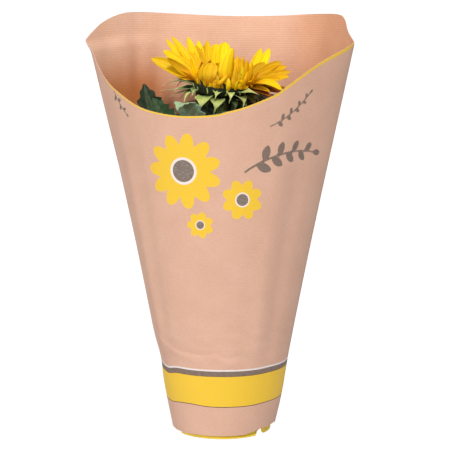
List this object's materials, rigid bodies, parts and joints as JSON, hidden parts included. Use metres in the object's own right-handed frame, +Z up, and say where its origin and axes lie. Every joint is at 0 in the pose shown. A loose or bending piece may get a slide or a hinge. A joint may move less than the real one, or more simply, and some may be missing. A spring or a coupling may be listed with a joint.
{
  "type": "potted sunflower plant in a paper sleeve",
  "caption": "Dwarf sunflower in bloom in a yellow plastic grower's pot, held in a tall tapered kraft-paper sleeve with a scooped front rim and a striped print.",
  "frame": {"origin": "centre of the pot's flat underside, on the surface that the pot stands on", "axes": "+Z up the stem, -Y to the front, where the sleeve's rim is scooped out, +X to the right seam of the sleeve"},
  "size_m": [0.2558, 0.1726, 0.3986],
  "materials": {
    "pot_plastic": "injection-moulded plastic, satin",
    "peat_soil": "moist peat crumbs",
    "stem_green": "hairy green stem skin",
    "leaf_green": "rough matt leaf",
    "bract_green": "downy pale green bract",
    "disc_orange": "dense short florets",
    "petal_yellow": "satin petal",
    "kraft_paper": "printed ribbed kraft paper, matt",
    "kraft_paper_back": "plain ribbed kraft paper, matt"
  },
  "bodies": {
    "root": {"pot": "pot_plastic", "soil": "peat_soil", "stem": "stem_green", "petiole_01": "stem_green", "petiole_02": "stem_green", "petiole_03": "stem_green", "petiole_04": "stem_green", "petiole_05": "stem_green", "petiole_06": "stem_green", "petiole_07": "stem_green", "petiole_08": "stem_green", "petiole_09": "stem_green", "petiole_10": "stem_green", "petiole_11": "stem_green", "petiole_12": "stem_green", "petiole_13": "stem_green", "petiole_14": "stem_green", "leaf_01": "leaf_green", "leaf_02": "leaf_green", "leaf_03": "leaf_green", "leaf_04": "leaf_green", "leaf_05": "leaf_green", "leaf_06": "leaf_green", "leaf_07": "leaf_green", "leaf_08": "leaf_green", "leaf_09": "leaf_green", "leaf_10": "leaf_green", "leaf_11": "leaf_green", "leaf_12": "leaf_green", "leaf_13": "leaf_green", "leaf_14": "leaf_green", "receptacle": "bract_green", "bract_collar": "bract_green", "disc_florets": "disc_orange", "ray_spray_01": "petal_yellow", "ray_spray_02": "petal_yellow", "ray_spray_03": "petal_yellow", "ray_spray_04": "petal_yellow", "ray_spray_05": "petal_yellow", "ray_spray_06": "petal_yellow", "ray_spray_07": "petal_yellow", "ray_spray_08": "petal_yellow", "ray_spray_09": "petal_yellow", "ray_spray_10": "petal_yellow", "sleeve_front": "kraft_paper", "sleeve_back": "kraft_paper_back"}
  },
  "joints": []
}
